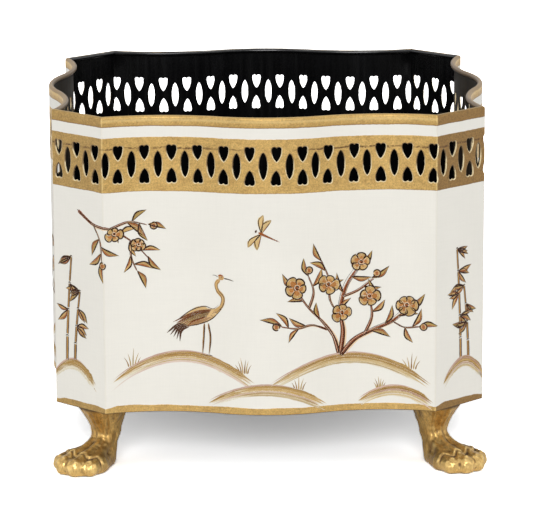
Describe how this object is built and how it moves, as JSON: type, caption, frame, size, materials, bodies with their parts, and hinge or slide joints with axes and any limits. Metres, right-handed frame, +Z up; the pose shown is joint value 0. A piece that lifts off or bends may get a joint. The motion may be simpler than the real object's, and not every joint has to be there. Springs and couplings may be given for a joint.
{
  "type": "footed planter",
  "caption": "Square sheet-metal planter with serpentine walls, canted corners, a pierced heart-and-oval gallery and cast paw feet.",
  "frame": {"origin": "on the floor below the middle of the planter", "axes": "+Z up, -Y towards the front wall, +X to the right seen from the front"},
  "size_m": [0.345, 0.345, 0.2784],
  "materials": {
    "ivory_paint": "satin hand-painted ivory outside, gloss black inside, antique gold bands",
    "gold_paint": "brushed antique gold paint",
    "black_paint": "gloss black",
    "cast_gold": "antique gold over cast metal",
    "zinc_steel": "zinc plated"
  },
  "bodies": {
    "root": {"front_wall_sheet": "ivory_paint", "back_wall_sheet": "ivory_paint", "left_end_sheet": "ivory_paint", "right_end_sheet": "ivory_paint", "rim_bead": "gold_paint", "base_pan": "black_paint", "foot_front_left": "cast_gold", "foot_front_right": "cast_gold", "foot_back_left": "cast_gold", "foot_back_right": "cast_gold", "foot_washers": "zinc_steel", "foot_screws": "zinc_steel"}
  },
  "joints": []
}
